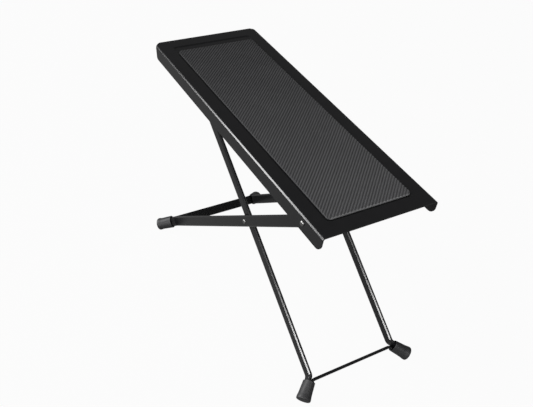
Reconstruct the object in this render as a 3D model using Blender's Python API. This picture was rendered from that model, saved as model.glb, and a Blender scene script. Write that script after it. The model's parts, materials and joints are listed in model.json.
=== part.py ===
"""Folding guitar footrest: a pressed steel platform on two crossed leg frames.

The outer frame's arms hang on rivets inside the platform's side flanges. The inner frame is riveted
to them where the legs cross, and its locking rod rides under two notched racks below the platform.
Metres, +Z up, +X towards the platform's low end, Y across. The floor is z = 0, under the middle.
"""
import math

import bmesh
import bpy
from mathutils import Matrix, Quaternion, Vector

# Platform sheet
PLATE_LENGTH = 0.276
PLATE_WIDTH = 0.105
SHEET = 0.0012
FLANGE_DEPTH = 0.0132
RAISED_FLANGE_DEPTH = 0.0115
FOLD_RADIUS = 0.0025
LOW_CORNER_RADIUS = 0.006
RAISED_CORNER_RADIUS = 0.002
RAISED_CUT_INBOARD = 0.0025
RAISED_CUT_LENGTH = 0.0056
RAISED_CUT_SETBACK = 0.0041
RAISED_END_SLANT = math.radians(20)

# Shallow recess pressed into the platform for the mat
RECESS_LENGTH = 0.250
RECESS_WIDTH = 0.079
RECESS_DEPTH = 0.0008
RECESS_SLOPE = 0.001
RECESS_CORNER_RADIUS = 0.0045

# Rubber mat
MAT_LENGTH = 0.2415
MAT_WIDTH = 0.076
MAT_CORNER_RADIUS = 0.003
MAT_LOW_END_GAP = 0.0005
MAT_PROUD = 0.0009
RIB_PITCH = 0.00214
RIB_DEPTH = 0.0005
RIB_ANGLE = math.radians(43.2)
RIB_CREST_SHARE = 0.42
RIB_FLANK_SHARE = 0.12

# Flat bars of both leg frames
BAR_THICKNESS = 0.0028
BAR_EDGE_RADIUS = 0.0012
ARM_WIDTH = 0.0094
LEG_WIDTH = 0.0088
TONGUE_WIDTH = 0.007
FOOT_SPLAY = math.radians(40.4)
ARM_BEND_RADIUS = 0.008
LEG_BEND_RADIUS = 0.0045

# Leg frame layout, from pivot to pivot
PIVOT_INSET = 0.0242
PIVOT_DROP = 0.0062
ARM_REACH = 0.2608
CROSSING_REACH = 0.1019
LEG_REACH = 0.1353
LEG_RISE = 0.1122
ARM_SIDE_GAP = 0.0043
LAYER_GAP = 0.0013

# Cross members of the two frames
STRIP_WIDTH = 0.009
STRIP_THICKNESS = 0.002
STRIP_EDGE_RADIUS = 0.0007
STRIP_BEND_RADIUS = 0.003
STRIP_OUTSET = 0.0022
TIE_ROD_RADIUS = 0.0013
TIE_ROD_BEND_RADIUS = 0.0035
TIE_ROD_OUTSET = 0.0016
LOCK_ROD_RADIUS = 0.00225
LOCK_ROD_TENON_RADIUS = 0.0015

# Notched racks under the platform
NOTCH_COUNT = 6
REST_NOTCH = 2
NOTCH_PITCH = 0.0065
FIRST_NOTCH_REACH = 0.1587
NOTCH_DEPTH = 0.0034
NOTCH_SIDE_CLEARANCE = 0.0003
ROD_PASSING_CLEARANCE = 0.0011
RACK_THICKNESS = 0.0015
RACK_FOOT_WIDTH = 0.011
RACK_WEB_DROP = 0.0077
RACK_END_LAND = 0.001
RACK_END_CHAMFER = 0.0008
RACK_SPACING = 0.046
STOP_LUG_LENGTH = 0.004
STOP_LUG_DROP = 0.0135
STOP_LUG_RADIUS = 0.001

# Rivets, spacers and washers
RIVET_RADIUS = 0.0015
RIVET_CLEARANCE = 0.0003
PIVOT_HEAD_RADIUS = 0.0024
PIVOT_HEAD_HEIGHT = 0.0012
PIVOT_TAIL_RADIUS = 0.0026
PIVOT_TAIL_HEIGHT = 0.0006
CROSSING_HEAD_RADIUS = 0.0022
CROSSING_HEAD_HEIGHT = 0.001
CROSSING_TAIL_RADIUS = 0.0026
CROSSING_TAIL_HEIGHT = 0.0009
SPACER_RADIUS = 0.0042
WASHER_RADIUS = 0.004

# Rubber foot caps
CAP_LENGTH = 0.0155
CAP_MOUTH_RADIUS = 0.0053
CAP_END_RADIUS = 0.006
CAP_LIP_LENGTH = 0.0022
CAP_CROWN = 0.0006
CAP_BORE_RADIUS = 0.0043
CAP_BORE_DEPTH = 0.0125
CAP_EDGE_ROUND = 0.0005
ARM_NECK = 0.0048
LEG_NECK = 0.0043
TONGUE_LENGTH = 0.0115
TONGUE_SHOWING = 0.0008
SHOULDER_LENGTH = 0.0006
BAR_SHOULDER_LENGTH = 0.001

# Fits and mesh fineness
SEAT_GAP = 0.0003
CUT_OVERRUN = 0.001
MERGE = 0.000001
ROUND_STEPS = 16
CAP_STEPS = 20
ARC_STEPS = 6
EDGE_STEPS = 2
FLOOR_STEPS = 60
SMOOTH_ANGLE = math.radians(35)

# Places worked out from the sizes above
TOP = PIVOT_DROP
HALF_WIDTH = PLATE_WIDTH / 2
LOW_END = PIVOT_INSET
RAISED_END = PIVOT_INSET - PLATE_LENGTH
PLATE_MIDDLE = (LOW_END + RAISED_END) / 2
ARM_LAYER = HALF_WIDTH - SHEET - ARM_SIDE_GAP - BAR_THICKNESS / 2
LEG_LAYER = ARM_LAYER - BAR_THICKNESS - LAYER_GAP
HOLE_RADIUS = RIVET_RADIUS + RIVET_CLEARANCE
RACK_TIP = TOP - RACK_WEB_DROP
ROD_LEVEL = RACK_TIP - ROD_PASSING_CLEARANCE - LOCK_ROD_RADIUS
ROD_REACH = FIRST_NOTCH_REACH + REST_NOTCH * NOTCH_PITCH


def side_angles():
    """Angles between the bars at rest, from the triangle of pivot, crossing and locking rod."""
    arm, leg, base = CROSSING_REACH, LEG_RISE, math.hypot(ROD_REACH, ROD_LEVEL)
    at_pivot = (arm ** 2 + base ** 2 - leg ** 2) / (2 * arm * base)
    at_crossing = (arm ** 2 + leg ** 2 - base ** 2) / (2 * arm * leg)
    platform_to_arm = math.acos(at_pivot) + math.atan2(-ROD_LEVEL, ROD_REACH)
    arm_to_leg = math.pi - math.acos(at_crossing)
    return platform_to_arm, arm_to_leg


PLATFORM_TO_ARM, ARM_TO_LEG = side_angles()


def cap_axis_offset(inner_thickness):
    """How far a cap's axis lies from the bar's centre line, so that bar and inner member share its bore."""
    return (SEAT_GAP + inner_thickness) / 2


def cap_low_point(slope, reach, neck, inner_thickness):
    """Height of a cap's lowest rim point below the joint it hangs from, for a bar at this slope."""
    inward = cap_axis_offset(inner_thickness)
    beyond = (neck + CAP_LENGTH - CAP_EDGE_ROUND) * math.cos(FOOT_SPLAY)
    along = reach + beyond + inward * math.sin(FOOT_SPLAY)
    rise = math.sin(slope) * math.cos(FOOT_SPLAY)
    return along * math.sin(slope) + CAP_END_RADIUS * math.sqrt(1 - rise ** 2)


def arm_slope_on_floor():
    """Slope of the outer arms when all four caps stand on one floor, found by bisection."""
    low, high = 0.0, ARM_TO_LEG
    for _ in range(FLOOR_STEPS):
        slope = (low + high) / 2
        arm_drop = cap_low_point(slope, ARM_REACH, ARM_NECK, STRIP_THICKNESS)
        below_crossing = cap_low_point(ARM_TO_LEG - slope, LEG_REACH, LEG_NECK, 2 * TIE_ROD_RADIUS)
        leg_drop = CROSSING_REACH * math.sin(slope) + below_crossing
        if arm_drop < leg_drop:
            low = slope
        else:
            high = slope
    return (low + high) / 2


ARM_SLOPE = arm_slope_on_floor()
LEG_SLOPE = ARM_TO_LEG - ARM_SLOPE
PLATFORM_TILT = PLATFORM_TO_ARM - ARM_SLOPE
PIVOT_HEIGHT = cap_low_point(ARM_SLOPE, ARM_REACH, ARM_NECK, STRIP_THICKNESS)


def material(name, colour, roughness, metallic):
    """A plain painted, rubber or metal finish."""
    finish = bpy.data.materials.new(name)
    finish.use_nodes = True
    shader = finish.node_tree.nodes["Principled BSDF"]
    shader.inputs["Base Color"].default_value = (*colour, 1)
    shader.inputs["Roughness"].default_value = roughness
    shader.inputs["Metallic"].default_value = metallic
    return finish


def new_piece(name, shape, finish, smooth=True):
    """Turn a bmesh into a named object with its own finish."""
    bmesh.ops.recalc_face_normals(shape, faces=shape.faces)
    mesh = bpy.data.meshes.new(name)
    shape.to_mesh(mesh)
    shape.free()
    if smooth:
        mesh.shade_smooth()
        mesh.set_sharp_from_angle(angle=SMOOTH_ANGLE)
    mesh.materials.append(finish)
    piece = bpy.data.objects.new(name, mesh)
    bpy.context.scene.collection.objects.link(piece)
    return piece


def new_cutter(name, shape):
    """A helper solid for a Boolean, left out of the model."""
    bmesh.ops.recalc_face_normals(shape, faces=shape.faces)
    mesh = bpy.data.meshes.new(name)
    shape.to_mesh(mesh)
    shape.free()
    cutter = bpy.data.objects.new(name, mesh)
    bpy.context.scene.collection.objects.link(cutter)
    cutter.hide_render = True
    cutter.display_type = "WIRE"
    return cutter


def combine(piece, other, operation):
    """Add a Boolean modifier, with the other solid carried by the piece."""
    other.parent = piece
    cut = piece.modifiers.new(other.name, "BOOLEAN")
    cut.operation = operation
    cut.solver = "EXACT"
    cut.object = other


def loft(rings):
    """Closed solid through rings of equal point count, with flat ends."""
    shape = bmesh.new()
    loops = [[shape.verts.new(point) for point in ring] for ring in rings]
    for lower, upper in zip(loops, loops[1:]):
        for k in range(len(lower)):
            after = (k + 1) % len(lower)
            shape.faces.new((lower[k], lower[after], upper[after], upper[k]))
    shape.faces.new(loops[0])
    shape.faces.new(loops[-1])
    return shape


def lathe(profile, steps, closed=False):
    """Turn a profile of (radius, height) points round the Z axis."""
    shape = bmesh.new()
    points = [shape.verts.new((radius, 0, height)) for radius, height in profile]
    edges = [shape.edges.new(pair) for pair in zip(points, points[1:])]
    if closed:
        edges.append(shape.edges.new((points[-1], points[0])))
    bmesh.ops.spin(shape, geom=points + edges, cent=(0, 0, 0), axis=(0, 0, 1), dvec=(0, 0, 0),
                   angle=math.tau, steps=steps, use_merge=True)
    bmesh.ops.remove_doubles(shape, verts=shape.verts, dist=MERGE)
    return shape


def arc(centre, radius, start, end, steps):
    """Points along an arc in a plane, both ends included."""
    angles = [start + (end - start) * k / steps for k in range(steps + 1)]
    return [(centre[0] + radius * math.cos(angle), centre[1] + radius * math.sin(angle)) for angle in angles]


def rounded_rectangle(length, width, radius, steps):
    """Outline of a rectangle with round corners, centred on zero."""
    outline = []
    for quarter, (sx, sy) in enumerate(((1, 1), (-1, 1), (-1, -1), (1, -1))):
        centre = (sx * (length / 2 - radius), sy * (width / 2 - radius))
        start = quarter * math.pi / 2
        outline += arc(centre, radius, start, start + math.pi / 2, steps)
    return outline


def place(piece, parent, location=(0, 0, 0), axis=(0, 0, 1), spin=0):
    """Hang a piece on a frame, turned about its own Z and then laid along the axis given."""
    piece.parent = parent
    piece.rotation_mode = "QUATERNION"
    piece.location = location
    lay = Vector((0, 0, 1)).rotation_difference(Vector(axis))
    piece.rotation_quaternion = lay @ Quaternion((0, 0, 1), spin)
    return piece


def bar_section(width, thickness, edge):
    """Section of a round-edged flat bar as (across, up) points."""
    edge = min(edge, width / 2, thickness / 2)
    return rounded_rectangle(thickness, width, edge, EDGE_STEPS)


def rod_section(radius):
    """Section of a round rod as (across, up) points."""
    return arc((0, 0), radius, 0, math.tau * (1 - 1 / ROUND_STEPS), ROUND_STEPS - 1)


def sweep(stations):
    """Loft sections along a path that lies flat: each station is (x, y, heading, section)."""
    rings = []
    for x, y, heading, section in stations:
        side = Vector((-math.sin(heading), math.cos(heading), 0))
        rings.append([Vector((x, y, 0)) + side * across + Vector((0, 0, up)) for across, up in section])
    return loft(rings)


def bend(start, heading, turn, radius, section):
    """Stations round a bend, and the point and heading where it ends."""
    left = 1 if turn > 0 else -1
    centre = (start[0] - left * radius * math.sin(heading), start[1] + left * radius * math.cos(heading))
    stations = []
    for k in range(ARC_STEPS + 1):
        now = heading + turn * k / ARC_STEPS
        x = centre[0] + left * radius * math.sin(now)
        y = centre[1] - left * radius * math.cos(now)
        stations.append((x, y, now, section))
    end = stations[-1]
    return stations, (end[0], end[1]), end[2]


def step_along(point, heading, distance):
    """The point at a distance along a heading."""
    return point[0] + distance * math.cos(heading), point[1] + distance * math.sin(heading)


def round_end(point, heading, width, edge):
    """Stations of a bar's half-round end, from its tip to full width."""
    stations = []
    for k in range(1, ARC_STEPS + 1):
        angle = math.pi / 2 * k / ARC_STEPS
        spot = step_along(point, heading, -width / 2 * math.cos(angle))
        stations.append((*spot, heading, bar_section(width * math.sin(angle), BAR_THICKNESS, edge)))
    return stations


def bar_with_foot(start, layer, width, reach, neck, radius, side, toward):
    """A flat bar from its half-round end to the tongue of its splayed foot."""
    heading = 0 if toward > 0 else math.pi
    turn = side * toward * FOOT_SPLAY
    full = bar_section(width, BAR_THICKNESS, BAR_EDGE_RADIUS)
    tongue = bar_section(TONGUE_WIDTH, BAR_THICKNESS, BAR_EDGE_RADIUS)
    setback = radius * math.tan(FOOT_SPLAY / 2)
    y = side * layer
    stations = round_end((start, y), heading, width, BAR_EDGE_RADIUS)
    curve, point, heading = bend((toward * (reach - setback), y), heading, turn, radius, full)
    stations += curve
    mouth = step_along((toward * reach, y), heading, neck)
    stations.append((*step_along(mouth, heading, -TONGUE_SHOWING - BAR_SHOULDER_LENGTH), heading, full))
    stations.append((*step_along(mouth, heading, -TONGUE_SHOWING), heading, tongue))
    stations.append((*step_along(mouth, heading, TONGUE_LENGTH), heading, tongue))
    return sweep(stations)


def foot_offset(inner_thickness):
    """Distance between the centre lines of a foot's bar and what lies against its inner face."""
    return BAR_THICKNESS / 2 + SEAT_GAP + inner_thickness / 2


def foot_point(layer, reach, side, toward, along, inward):
    """A point in a foot, from its bend along the splayed bar and off its inner face."""
    heading = side * toward * FOOT_SPLAY if toward > 0 else math.pi + side * toward * FOOT_SPLAY
    x = toward * reach + along * math.cos(heading) + toward * inward * math.sin(FOOT_SPLAY)
    y = side * layer + along * math.sin(heading) - side * inward * math.cos(FOOT_SPLAY)
    return x, y, heading


def cross_member(layer, reach, neck, toward, thickness, outset, radius, section, tongue_section):
    """A member from one foot's cap straight across to the other, with its ends bent into the caps."""
    inward = foot_offset(thickness)
    corner_x = foot_point(layer, reach, 1, toward, outset, inward)[0]
    turn = math.pi / 2 - FOOT_SPLAY
    setback = radius * math.tan(turn / 2)
    stations = []
    for side in (-1, 1):
        corner_y = foot_point(layer, reach, side, toward, outset, inward)[1]
        end = foot_point(layer, reach, side, toward, neck + TONGUE_LENGTH, inward)
        mouth = foot_point(layer, reach, side, toward, neck - SEAT_GAP, inward)
        before = foot_point(layer, reach, side, toward, neck - SEAT_GAP - SHOULDER_LENGTH, inward)
        if side < 0:
            heading = end[2] + math.pi
            stations.append((end[0], end[1], heading, tongue_section))
            stations.append((mouth[0], mouth[1], heading, tongue_section))
            stations.append((before[0], before[1], heading, section))
            start = step_along((corner_x, corner_y), heading, -setback)
            curve, _, _ = bend(start, heading, -toward * turn, radius, section)
            stations += curve
            across = curve[-1][2]
        else:
            start = (corner_x, corner_y - setback)
            curve, _, heading = bend(start, across, -toward * turn, radius, section)
            stations += curve
            stations.append((before[0], before[1], heading, section))
            stations.append((mouth[0], mouth[1], heading, tongue_section))
            stations.append((end[0], end[1], heading, tongue_section))
    return sweep(stations)


def drill(piece, name, x, radius, across):
    """A round hole through a piece along Y."""
    half = across / 2
    hole = lathe([(0, -half), (radius, -half), (radius, half), (0, half)], ROUND_STEPS)
    bmesh.ops.rotate(hole, verts=hole.verts, cent=(0, 0, 0), matrix=Matrix.Rotation(math.pi / 2, 3, "X"))
    bmesh.ops.translate(hole, verts=hole.verts, vec=(x, 0, 0))
    combine(piece, new_cutter(name, hole), "DIFFERENCE")


def side_rows():
    """Rows of one side of the sheet, from the top face over the fold and down the flange.

    Each row is (outer across, outer up, inner across, inner up, low end's cut, raised end's cut, how much
    higher it lies at the raised end, where the flange is less deep).
    """
    fold_y = HALF_WIDTH - FOLD_RADIUS
    fold_z = TOP - FOLD_RADIUS
    inner_radius = FOLD_RADIUS - SHEET
    fold_length = FOLD_RADIUS * math.pi / 2
    straight = FLANGE_DEPTH - FOLD_RADIUS
    raised_straight = RAISED_FLANGE_DEPTH - FOLD_RADIUS
    full = fold_length + raised_straight
    rows = [(fold_y - inset, TOP, fold_y - inset, TOP - SHEET, 0, raised_cut(-inset, full), 0)
            for inset in (RAISED_CUT_INBOARD, 0)]
    for outer, inner in list(zip(arc((fold_y, fold_z), FOLD_RADIUS, math.pi / 2, 0, ARC_STEPS),
                                 arc((fold_y, fold_z), inner_radius, math.pi / 2, 0, ARC_STEPS)))[1:]:
        along = FOLD_RADIUS * math.atan2(outer[0] - fold_y, outer[1] - fold_z)
        rows.append((*outer, *inner, 0, raised_cut(along, full), 0))
    for k in range(ARC_STEPS + 1):
        angle = math.pi / 2 * k / ARC_STEPS
        down = straight - LOW_CORNER_RADIUS * (1 - math.sin(angle))
        low_cut = LOW_CORNER_RADIUS * (1 - math.cos(angle))
        raised_down = down * raised_straight / straight
        rows.append((HALF_WIDTH, fold_z - down, HALF_WIDTH - SHEET, fold_z - down, low_cut,
                     raised_cut(fold_length + raised_down, full), down - raised_down))
    return rows


def raised_cut(along, full):
    """How far the sheet's raised end is cut back at a place along its section; the fold starts at zero."""
    into = along + RAISED_CUT_INBOARD
    if into < RAISED_CUT_LENGTH:
        return RAISED_CUT_SETBACK * into / RAISED_CUT_LENGTH
    cut = RAISED_CUT_SETBACK + (into - RAISED_CUT_LENGTH) * math.tan(RAISED_END_SLANT)
    rest = max(0, along - full + RAISED_CORNER_RADIUS)
    return cut + RAISED_CORNER_RADIUS - math.sqrt(max(0, RAISED_CORNER_RADIUS ** 2 - rest ** 2))


def folded_sheet():
    """The sheet's two skins, joined along its ends and along the flanges' lower edges."""
    side = side_rows()
    rows = [(-row[0], row[1], -row[2], *row[3:]) for row in reversed(side)] + side
    shape = bmesh.new()
    corners = []
    for outer_y, outer_z, inner_y, inner_z, low_cut, raised_back, lift in rows:
        corners.append([shape.verts.new((x, y, z + rise))
                        for x, rise in ((LOW_END - low_cut, 0), (RAISED_END + raised_back, lift))
                        for y, z in ((outer_y, outer_z), (inner_y, inner_z))])
    for one, two in zip(corners, corners[1:]):
        shape.faces.new((one[0], one[2], two[2], two[0]))
        shape.faces.new((one[1], two[1], two[3], one[3]))
        shape.faces.new((one[0], two[0], two[1], one[1]))
        shape.faces.new((one[2], one[3], two[3], two[2]))
    for edge in (corners[0], corners[-1]):
        shape.faces.new((edge[0], edge[1], edge[3], edge[2]))
    return shape


def recess_solid(levels):
    """Solid of the pressed recess: each level is (height, how far the outline is drawn in)."""
    rings = []
    for height, inset in levels:
        outline = rounded_rectangle(RECESS_LENGTH - 2 * inset, RECESS_WIDTH - 2 * inset,
                                    RECESS_CORNER_RADIUS - inset, ARC_STEPS)
        rings.append([(PLATE_MIDDLE + x, y, height) for x, y in outline])
    return loft(rings)


def make_top_plate(finish):
    """Folded channel with round flange corners and a pressed recess."""
    plate = new_piece("top_plate", folded_sheet(), finish)
    below = TOP - SHEET
    pan = [(TOP - SHEET / 2, 0), (below, 0), (below - RECESS_DEPTH, RECESS_SLOPE)]
    combine(plate, new_cutter("recess_pan", recess_solid(pan)), "UNION")
    pocket = [(TOP + CUT_OVERRUN, 0), (TOP, 0), (TOP - RECESS_DEPTH, RECESS_SLOPE)]
    combine(plate, new_cutter("recess_pocket", recess_solid(pocket)), "DIFFERENCE")
    drill(plate, "pivot_holes", 0, HOLE_RADIUS, PLATE_WIDTH + 2 * CUT_OVERRUN)
    return plate


def make_mat(finish):
    """Rubber mat with fine diagonal ribs, cut to a rectangle with round corners."""
    floor = TOP - RECESS_DEPTH + SEAT_GAP
    crest = TOP + MAT_PROUD
    valley = crest - RIB_DEPTH
    middle = LOW_END - (PLATE_LENGTH - RECESS_LENGTH) / 2 - RECESS_SLOPE - MAT_LOW_END_GAP - MAT_LENGTH / 2
    span = math.hypot(MAT_LENGTH, MAT_WIDTH) + 2 * RIB_PITCH
    count = math.ceil(span / RIB_PITCH)
    start = -count * RIB_PITCH / 2
    profile = [(start, floor)]
    for k in range(count):
        left = start + k * RIB_PITCH
        rise = left + RIB_PITCH * RIB_FLANK_SHARE
        fall = rise + RIB_PITCH * RIB_CREST_SHARE
        foot = fall + RIB_PITCH * RIB_FLANK_SHARE
        profile += [(left, valley), (rise, crest), (fall, crest), (foot, valley)]
    profile += [(start + count * RIB_PITCH, valley), (start + count * RIB_PITCH, floor)]
    ribs = loft([[(across, length, z) for across, z in profile] for length in (-span / 2, span / 2)])
    bmesh.ops.rotate(ribs, verts=ribs.verts, cent=(0, 0, 0), matrix=Matrix.Rotation(RIB_ANGLE, 3, "Z"))
    bmesh.ops.translate(ribs, verts=ribs.verts, vec=(middle, 0, 0))
    mat = new_piece("rubber_mat", ribs, finish, smooth=False)
    outline = rounded_rectangle(MAT_LENGTH, MAT_WIDTH, MAT_CORNER_RADIUS, ARC_STEPS)
    levels = (floor - CUT_OVERRUN, crest + CUT_OVERRUN)
    cookie = loft([[(middle + x, y, z) for x, y in outline] for z in levels])
    combine(mat, new_cutter("mat_outline", cookie), "INTERSECT")
    return mat


def rack_outline():
    """Side view of a rack's web, from its stop lug past the notches, as (reach, height) points."""
    top = TOP - SHEET - RECESS_DEPTH - SEAT_GAP
    half = LOCK_ROD_RADIUS + NOTCH_SIDE_CLEARANCE
    root = RACK_TIP + NOTCH_DEPTH - half
    lug_end = FIRST_NOTCH_REACH - LOCK_ROD_RADIUS - NOTCH_SIDE_CLEARANCE
    lug_start = lug_end - STOP_LUG_LENGTH
    lug_tip = TOP - STOP_LUG_DROP
    last = FIRST_NOTCH_REACH + (NOTCH_COUNT - 1) * NOTCH_PITCH
    end = last + half + RACK_END_LAND + RACK_END_CHAMFER
    outline = [(lug_start, top)]
    outline += arc((lug_start + STOP_LUG_RADIUS, lug_tip + STOP_LUG_RADIUS), STOP_LUG_RADIUS,
                   math.pi, math.pi * 1.5, EDGE_STEPS)
    outline += arc((lug_end - STOP_LUG_RADIUS, lug_tip + STOP_LUG_RADIUS), STOP_LUG_RADIUS,
                   -math.pi / 2, 0, EDGE_STEPS)
    for k in range(NOTCH_COUNT):
        reach = FIRST_NOTCH_REACH + k * NOTCH_PITCH
        if k:
            outline.append((reach - half, RACK_TIP))
        outline += arc((reach, root), half, math.pi, 0, ARC_STEPS)
        outline.append((reach + half, RACK_TIP))
    outline += [(end - RACK_END_CHAMFER, RACK_TIP), (end, RACK_TIP + RACK_END_CHAMFER), (end, top)]
    return outline


def make_rack(side, finish):
    """Angle-section rack: a toothed web with a foot that is spot-welded under the platform."""
    outline = rack_outline()
    web_y = side * RACK_SPACING / 2
    web = loft([[(-reach, y, z) for reach, z in outline]
                for y in (web_y - RACK_THICKNESS / 2, web_y + RACK_THICKNESS / 2)])
    rack = new_piece("notch_rack_" + ("far" if side > 0 else "near"), web, finish)
    top = outline[0][1]
    outer_y = web_y - side * RACK_THICKNESS / 2
    inner_y = outer_y + side * RACK_FOOT_WIDTH
    low_y, high_y = min(outer_y, inner_y), max(outer_y, inner_y)
    length = outline[-1][0] - outline[0][0]
    foot = rounded_rectangle(length, RACK_FOOT_WIDTH, STOP_LUG_RADIUS, EDGE_STEPS)
    middle_x = -(outline[-1][0] + outline[0][0]) / 2
    middle_y = (low_y + high_y) / 2
    slab = loft([[(middle_x + x, middle_y + y, z) for x, y in foot] for z in (top - RACK_THICKNESS, top)])
    combine(rack, new_cutter(rack.name + "_foot", slab), "UNION")
    return rack


def ring(inner_radius, outer_radius, thickness):
    """A plain washer, lying from height zero upwards."""
    profile = [(inner_radius, 0), (outer_radius, 0), (outer_radius, thickness), (inner_radius, thickness)]
    return lathe(profile, ROUND_STEPS, closed=True)


def rivet(head_radius, head_height, grip, tail_radius, tail_height):
    """A domed rivet: the head's seat is at height zero, the shank runs down to the clinched tail."""
    dome = [(head_radius * math.cos(angle), head_height * math.sin(angle))
            for angle in (math.pi / 2 * k / (ARC_STEPS - 1) for k in range(ARC_STEPS))]
    profile = list(reversed(dome))
    profile[0] = (0, head_height)
    end = -grip - tail_height
    profile += [(RIVET_RADIUS, 0), (RIVET_RADIUS, -grip), (tail_radius, -grip), (tail_radius, end), (0, end)]
    return lathe(profile, ROUND_STEPS)


def foot_cap():
    """A rubber cap: a tapered sleeve with a blind bore, a flared lip and a crowned end."""
    lip_start = CAP_LENGTH - CAP_LIP_LENGTH
    taper = (CAP_END_RADIUS - CAP_MOUTH_RADIUS) / 2
    inner = CAP_END_RADIUS - CAP_EDGE_ROUND
    profile = [(0, CAP_BORE_DEPTH), (CAP_BORE_RADIUS, CAP_BORE_DEPTH), (CAP_BORE_RADIUS, 0),
               (CAP_MOUTH_RADIUS - CAP_EDGE_ROUND, 0), (CAP_MOUTH_RADIUS, CAP_EDGE_ROUND),
               (CAP_MOUTH_RADIUS + taper, lip_start - CAP_EDGE_ROUND),
               (CAP_END_RADIUS, lip_start + CAP_EDGE_ROUND),
               (CAP_END_RADIUS, CAP_LENGTH - CAP_EDGE_ROUND), (inner, CAP_LENGTH)]
    profile += [(inner * math.cos(angle), CAP_LENGTH + CAP_CROWN * math.sin(angle))
                for angle in (math.pi / 6, math.pi / 3)]
    profile.append((0, CAP_LENGTH + CAP_CROWN))
    return lathe(profile, CAP_STEPS)


def frame_empty(name, location, pitch):
    """A frame's own axes: an empty on its pivot, turned about Y."""
    empty = bpy.data.objects.new(name, None)
    bpy.context.scene.collection.objects.link(empty)
    empty.location = location
    empty.rotation_euler = (0, pitch, 0)
    return empty


def make_platform(frame, paint, rubber, steel, zinc):
    """The platform, its mat and racks, and the rivets and spacers at its flanges."""
    place(make_top_plate(paint), frame)
    place(make_mat(rubber), frame)
    grip = SHEET + ARM_SIDE_GAP + BAR_THICKNESS + 2 * SEAT_GAP
    spacer = ARM_SIDE_GAP - 2 * SEAT_GAP
    for side, word in ((-1, "near"), (1, "far")):
        place(make_rack(side, zinc), frame)
        pin = new_piece("pivot_rivet_" + word, rivet(PIVOT_HEAD_RADIUS, PIVOT_HEAD_HEIGHT, grip,
                                                     PIVOT_TAIL_RADIUS, PIVOT_TAIL_HEIGHT), steel)
        place(pin, frame, (0, side * (HALF_WIDTH + SEAT_GAP), 0), (0, side, 0))
        collar = new_piece("pivot_spacer_" + word, ring(HOLE_RADIUS, SPACER_RADIUS, spacer), zinc)
        place(collar, frame, (0, side * (HALF_WIDTH - SHEET - SEAT_GAP - spacer), 0), (0, side, 0))


def make_outer_frame(frame, paint, rubber, steel, zinc):
    """Two arms, the strip between their feet, the crossing rivets with their washers, and two caps."""
    sections = (bar_section(STRIP_WIDTH, STRIP_THICKNESS, STRIP_EDGE_RADIUS),
                bar_section(TONGUE_WIDTH, STRIP_THICKNESS, STRIP_EDGE_RADIUS))
    strip = cross_member(ARM_LAYER, ARM_REACH, ARM_NECK, -1, STRIP_THICKNESS, STRIP_OUTSET,
                         STRIP_BEND_RADIUS, *sections)
    place(new_piece("outer_cross_strip", strip, paint), frame)
    washer = LAYER_GAP - 2 * SEAT_GAP
    grip = 2 * BAR_THICKNESS + LAYER_GAP + 2 * SEAT_GAP
    for side, word in ((-1, "near"), (1, "far")):
        bar = bar_with_foot(0, ARM_LAYER, ARM_WIDTH, ARM_REACH, ARM_NECK, ARM_BEND_RADIUS, side, -1)
        arm = new_piece("outer_arm_" + word, bar, paint)
        drill(arm, arm.name + "_pivot_hole", 0, HOLE_RADIUS, PLATE_WIDTH)
        drill(arm, arm.name + "_crossing_hole", -CROSSING_REACH, HOLE_RADIUS, PLATE_WIDTH)
        place(arm, frame)
        pin = new_piece("crossing_rivet_" + word, rivet(CROSSING_HEAD_RADIUS, CROSSING_HEAD_HEIGHT, grip,
                                                        CROSSING_TAIL_RADIUS, CROSSING_TAIL_HEIGHT), steel)
        outer_face = ARM_LAYER + BAR_THICKNESS / 2
        place(pin, frame, (-CROSSING_REACH, side * (outer_face + SEAT_GAP), 0), (0, side, 0))
        disc = new_piece("crossing_washer_" + word, ring(HOLE_RADIUS, WASHER_RADIUS, washer), zinc)
        inner_face = ARM_LAYER - BAR_THICKNESS / 2
        place(disc, frame, (-CROSSING_REACH, side * (inner_face - SEAT_GAP - washer), 0), (0, side, 0))
        add_cap("outer_foot_" + word, frame, ARM_LAYER, ARM_REACH, ARM_NECK, side, -1,
                STRIP_THICKNESS, rubber)


def floor_spin(pitch, axis):
    """Turn about a cap's axis that brings a corner of its rim lowest, so that it rests on that corner."""
    down = Quaternion((0, 1, 0), -pitch) @ Vector((0, 0, -1))
    seen = Vector((0, 0, 1)).rotation_difference(Vector(axis)).inverted() @ down
    return math.atan2(seen.y, seen.x)


def add_cap(name, frame, layer, reach, neck, side, toward, inner_thickness, rubber):
    """A cap over a foot's bar and the member bent in beside it."""
    x, y, heading = foot_point(layer, reach, side, toward, neck, cap_axis_offset(inner_thickness))
    axis = (math.cos(heading), math.sin(heading), 0)
    cap = new_piece(name, foot_cap(), rubber)
    place(cap, frame, (x, y, 0), axis, floor_spin(frame.rotation_euler.y, axis))


def lock_rod_shape():
    """The locking rod between the legs, with a shouldered tenon at each end."""
    shoulder = LEG_LAYER - BAR_THICKNESS / 2 - SEAT_GAP
    tip = LEG_LAYER + BAR_THICKNESS / 2
    half = [(LOCK_ROD_RADIUS, shoulder), (LOCK_ROD_TENON_RADIUS, shoulder),
            (LOCK_ROD_TENON_RADIUS, tip), (0, tip)]
    profile = [(radius, -height) for radius, height in reversed(half)] + half
    return lathe(profile, ROUND_STEPS)


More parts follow.
